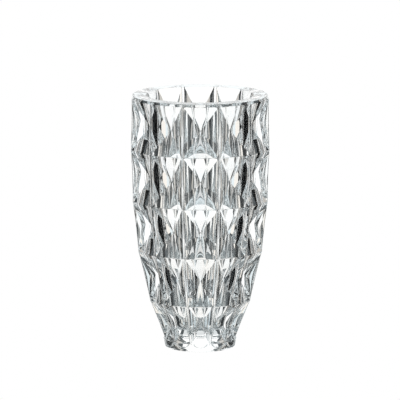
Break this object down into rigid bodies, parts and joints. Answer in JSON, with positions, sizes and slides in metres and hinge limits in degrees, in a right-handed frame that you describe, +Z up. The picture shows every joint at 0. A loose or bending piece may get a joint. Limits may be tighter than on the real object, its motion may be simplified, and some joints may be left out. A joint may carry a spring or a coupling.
{
  "type": "cut crystal vase",
  "caption": "Tall round vase of clear crystal, cut all over in tiers of deep facets that cross between upright ribs, with a flat thick rim and a narrow foot.",
  "frame": {"origin": "centre of the foot, on the surface it stands on", "axes": "+Z up along the vase's axis, from the foot to the rim; -Y is the side seen from the front, the middle of one column of cuts"},
  "size_m": [0.138, 0.138, 0.255],
  "materials": {
    "crystal": "clear polished crystal"
  },
  "bodies": {
    "root": {"vase_body": "crystal"}
  },
  "joints": []
}
